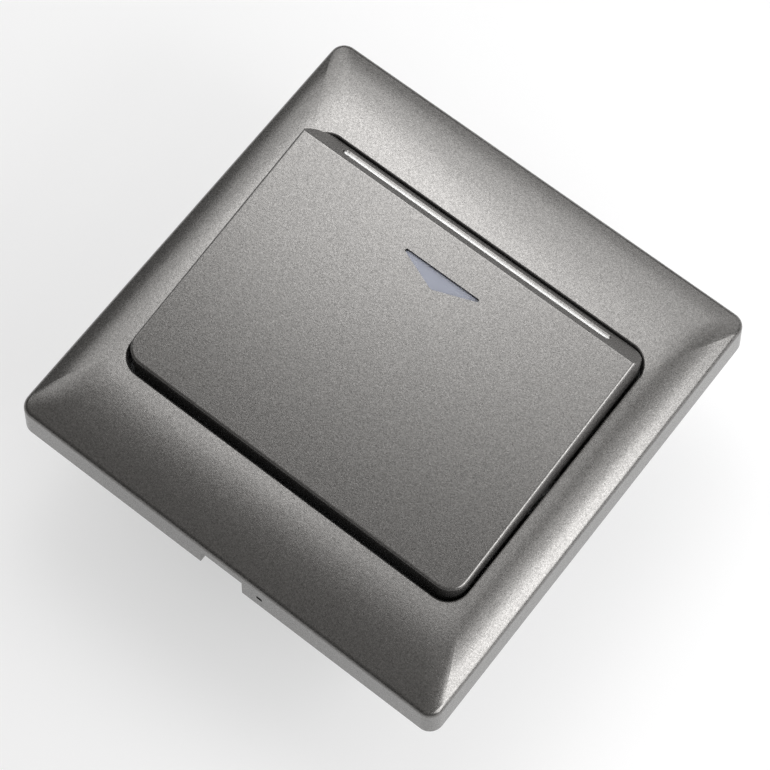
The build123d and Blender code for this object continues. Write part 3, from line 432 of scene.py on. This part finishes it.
def make_materials():
    """One finished material for each of the record's slots."""
    materials = {
        "champagne_paint": metallic_paint("champagne_paint", PAINT_COLOUR),
        "milky_lens": milky_lens("milky_lens"),
        "galvanised_sheet": spangled_sheet("galvanised_sheet", ZINC_COLOUR),
        "board_laminate": laminate("board_laminate"),
        "resistor_coat": resistor_coat("resistor_coat"),
        "lamp_epoxy": clear_lamp("lamp_epoxy"),
    }
    for name, look in PLASTICS.items():
        materials[name] = moulded(name, **look)
    for name, look in METALS.items():
        materials[name] = worked_metal(name, **look)
    return materials


def dress_nodes(frame, materials):
    """Gives every CAD node the finished material of its slot."""
    slots = {row["node"]: row["material_slot"] for row in frame["record"]["subparts"]}
    for name, node in frame["nodes"].items():
        node.data.materials.clear()
        node.data.materials.append(materials[slots[name]])


# Feeler spring


def ease(share):
    """Goes from 0 to 1 with a level start and a level end."""
    return share * share * (3 - 2 * share)


def spring_point(turn, middle, radius, low, high):
    """Middle of the wire after a number of turns: flat end turns, nearly even climb between."""
    climbing = SPRING_TURNS - 2 * SPRING_FLAT_TURNS
    share = min(1.0, max(0.0, (turn - SPRING_FLAT_TURNS) / climbing))
    rise = SPRING_EASE_SHARE * ease(share) + (1 - SPRING_EASE_SHARE) * share
    angle = 2 * math.pi * turn
    x = middle.x + radius * math.cos(angle)
    y = middle.y + radius * math.sin(angle)
    return Vector((x, y, low + rise * (high - low)))


def wire_vertices(line, middle):
    """Rings of points round a line of wire that winds about an upright axis."""
    last = len(line) - 1
    vertices = []
    for step, point in enumerate(line):
        ahead = line[min(step + 1, last)] - line[max(step - 1, 0)]
        out = Vector((point.x - middle.x, point.y - middle.y, 0)).normalized()
        up = ahead.cross(out).normalized()
        for side in range(SPRING_SIDES):
            angle = 2 * math.pi * side / SPRING_SIDES
            vertices.append(point + WIRE_RADIUS * (math.cos(angle) * out + math.sin(angle) * up))
    return vertices


def wire_faces(steps):
    """Faces between the rings of a wire, and one at each end."""
    faces = []
    for step in range(steps):
        for side in range(SPRING_SIDES):
            here = step * SPRING_SIDES + side
            beside = step * SPRING_SIDES + (side + 1) % SPRING_SIDES
            faces.append((here, beside, beside + SPRING_SIDES, here + SPRING_SIDES))
    last = (steps + 1) * SPRING_SIDES - 1
    faces.append(tuple(range(SPRING_SIDES)))
    faces.append(tuple(range(last, last - SPRING_SIDES, -1)))
    return faces


def build_spring(material):
    """The feeler's spring as a wire tube that follows a climbing circle."""
    low_corner, high_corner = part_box("feeler_spring")
    middle = (low_corner + high_corner) / 2
    radius = (high_corner.x - low_corner.x) / 2 - WIRE_RADIUS
    low = low_corner.z + WIRE_RADIUS
    high = high_corner.z - WIRE_RADIUS
    steps = int(SPRING_TURNS * SPRING_STEPS)
    turns = [step / SPRING_STEPS for step in range(steps + 1)]
    line = [spring_point(turn, middle, radius, low, high) for turn in turns]
    mesh = bpy.data.meshes.new("feeler_spring_wire")
    mesh.from_pydata(wire_vertices(line, middle), [], wire_faces(steps))
    mesh.shade_smooth()
    mesh.materials.append(material)
    piece = bpy.data.objects.new("feeler_spring_wire", mesh)
    bpy.context.scene.collection.objects.link(piece)
    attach(piece, "base")
    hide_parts("feeler_spring")
    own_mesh(piece)


# Stage


def floor_paper():
    """Pale paper that shows as a light backdrop, keeps the shadow and is clear from below."""
    material, tree, shader = start_material("floor_paper", FLOOR_COLOUR, roughness=0.9)
    place = object_coordinates(tree)
    cloud = noise(tree, place, scale=8.0)
    set_colour(tree, shader, tint(tree, cloud, FLOOR_COLOUR, share=0.01))
    path = add_node(tree, "ShaderNodeLightPath")
    seen = path.outputs["Is Camera Ray"]
    for ray in ("Is Glossy Ray", "Is Transmission Ray"):
        seen = larger(tree, seen, path.outputs[ray])
    white = add_node(tree, "ShaderNodeEmission", {"Strength": 1.0})
    blend = add_node(tree, "ShaderNodeMixShader")
    tree.links.new(times(tree, seen, BACKDROP_SHARE), blend.inputs["Fac"])
    tree.links.new(shader.outputs["BSDF"], blend.inputs[1])
    tree.links.new(white.outputs["Emission"], blend.inputs[2])
    side = add_node(tree, "ShaderNodeNewGeometry")
    clear = add_node(tree, "ShaderNodeBsdfTransparent")
    below = add_node(tree, "ShaderNodeMixShader")
    tree.links.new(side.outputs["Backfacing"], below.inputs["Fac"])
    tree.links.new(blend.outputs["Shader"], below.inputs[1])
    tree.links.new(clear.outputs["BSDF"], below.inputs[2])
    tree.links.new(below.outputs["Shader"], tree.nodes["Material Output"].inputs["Surface"])
    return material


def make_floor(height):
    """Plain pale floor at a height."""
    half = FLOOR_SIZE / 2
    corners = [(x, y, height) for x, y in ((-half, -half), (half, -half), (half, half), (-half, half))]
    mesh = bpy.data.meshes.new("floor")
    mesh.from_pydata(corners, [], [(0, 1, 2, 3)])
    mesh.materials.append(floor_paper())
    floor = bpy.data.objects.new("floor", mesh)
    bpy.context.scene.collection.objects.link(floor)


def make_world():
    """Pale surroundings that get darker towards the horizon, and a light backdrop when seen."""
    world = bpy.data.worlds.new("studio")
    world.use_nodes = True
    tree = world.node_tree
    background = tree.nodes["Background"]
    background.inputs["Color"].default_value = (*WORLD_COLOUR, 1.0)
    way = add_node(tree, "ShaderNodeSeparateXYZ")
    tree.links.new(add_node(tree, "ShaderNodeTexCoord").outputs["Generated"], way.inputs["Vector"])
    lit = spread(tree, way.outputs["Z"], HORIZON_STRENGTH, WORLD_STRENGTH, DIM_UP_TO, FULL_FROM)
    camera_ray = add_node(tree, "ShaderNodeLightPath").outputs["Is Camera Ray"]
    seen = times(tree, camera_ray, BACKDROP_STRENGTH)
    tree.links.new(larger(tree, lit, seen), background.inputs["Strength"])
    bpy.context.scene.world = world


def make_lamps():
    """Softboxes that face the plate."""
    for name, azimuth, elevation, side, power in LAMPS:
        data = bpy.data.lights.new(name, "AREA")
        data.shape = "SQUARE"
        data.size = side
        data.energy = power
        lamp = bpy.data.objects.new(name, data)
        turn = math.radians(azimuth)
        rise = math.radians(elevation)
        way = Vector((math.cos(turn) * math.cos(rise), math.sin(turn) * math.cos(rise), math.sin(rise)))
        lamp.location = way * LAMP_DISTANCE
        lamp.rotation_euler = way.to_track_quat("Z", "Y").to_euler()
        bpy.context.scene.collection.objects.link(lamp)


def make_camera():
    """Camera at the photograph's place and angle."""
    data = bpy.data.cameras.new("camera")
    data.lens = CAMERA_LENS
    data.sensor_width = SENSOR_WIDTH
    data.clip_start = CAMERA_NEAR
    data.clip_end = CAMERA_FAR
    camera = bpy.data.objects.new("camera", data)
    camera.location = CAMERA_PLACE
    camera.rotation_euler = CAMERA_LOOK.to_track_quat("-Z", "Y").to_euler()
    bpy.context.scene.collection.objects.link(camera)
    bpy.context.scene.camera = camera


def main():
    """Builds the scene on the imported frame."""
    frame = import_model()
    cad_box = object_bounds()
    materials = make_materials()
    dress_nodes(frame, materials)
    build_spring(materials["bright_steel"])
    make_floor(cad_box[0][2] - FLOOR_GAP)
    make_world()
    make_lamps()
    make_camera()
    bpy.context.scene.view_settings.view_transform = "Standard"


main()
